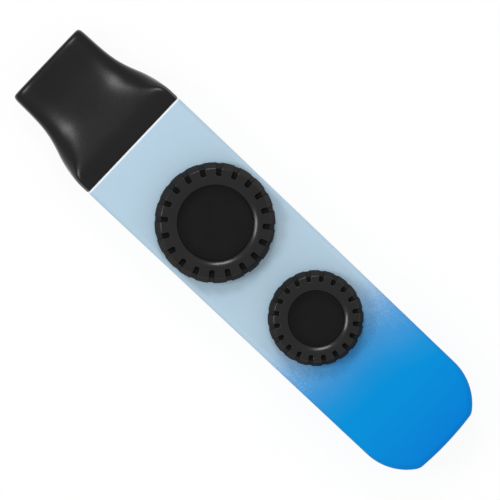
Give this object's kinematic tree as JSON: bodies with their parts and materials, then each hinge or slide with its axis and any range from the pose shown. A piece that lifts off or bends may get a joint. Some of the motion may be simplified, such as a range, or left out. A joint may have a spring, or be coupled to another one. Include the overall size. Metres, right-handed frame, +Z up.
{
  "type": "kazoo",
  "caption": "Flat-bodied kazoo with a duckbill mouthpiece, a rounded tail and a large and a small screw-capped membrane turret on top.",
  "frame": {"origin": "middle of the footprint, on the underside that the body rests on", "axes": "+X from the lips towards the tail, +Y across the body, +Z up towards the caps"},
  "size_m": [0.12, 0.0286, 0.018],
  "materials": {
    "mouthpiece_plastic": "satin black moulding",
    "sprayed_upper_shell": "pale blue spray that fades to strong blue at the tail",
    "sprayed_lower_shell": "pale blue spray that fades to strong blue at the tail",
    "neck_plastic": "black moulding",
    "gasket_rubber": "soft grey ring",
    "carrier_plastic": "black moulding",
    "membrane_film": "thin dark film",
    "press_ring_plastic": "black moulding",
    "cap_plastic": "satin black moulding"
  },
  "bodies": {
    "body": {"upper_shell": "sprayed_upper_shell", "lower_shell": "sprayed_lower_shell", "large_neck": "neck_plastic", "large_gasket": "gasket_rubber", "large_carrier": "carrier_plastic", "large_membrane": "membrane_film", "small_neck": "neck_plastic", "small_gasket": "gasket_rubber", "small_carrier": "carrier_plastic", "small_membrane": "membrane_film"},
    "mouthpiece": {"mouthpiece": "mouthpiece_plastic"},
    "large_press_ring": {"large_press_ring": "press_ring_plastic"},
    "large_cap": {"large_cap": "cap_plastic"},
    "small_press_ring": {"small_press_ring": "press_ring_plastic"},
    "small_cap": {"small_cap": "cap_plastic"}
  },
  "joints": [
    {"name": "mouthpiece_pull", "type": "slide", "parent": "body", "child": "mouthpiece", "axis": [-1, 0, 0], "range_m": [0, 0.0062]},
    {"name": "large_cap_lift", "type": "slide", "parent": "body", "child": "large_press_ring", "axis": [0, 0, 1], "range_m": [0, 0.00225]},
    {"name": "large_cap_turn", "type": "hinge", "parent": "large_press_ring", "child": "large_cap", "pos_m": [-0.00965, 0, 0.0127], "axis": [0, 0, 1], "range_deg": [0, 540]},
    {"name": "small_cap_lift", "type": "slide", "parent": "body", "child": "small_press_ring", "axis": [0, 0, 1], "range_m": [0, 0.00225]},
    {"name": "small_cap_turn", "type": "hinge", "parent": "small_press_ring", "child": "small_cap", "pos_m": [0.02045, 0, 0.0127], "axis": [0, 0, 1], "range_deg": [0, 540]}
  ],
  "couplings": [
    {"joint": "large_cap_turn", "follows": "large_cap_lift", "rad_per_m": 4188.8},
    {"joint": "small_cap_turn", "follows": "small_cap_lift", "rad_per_m": 4188.8}
  ]
}
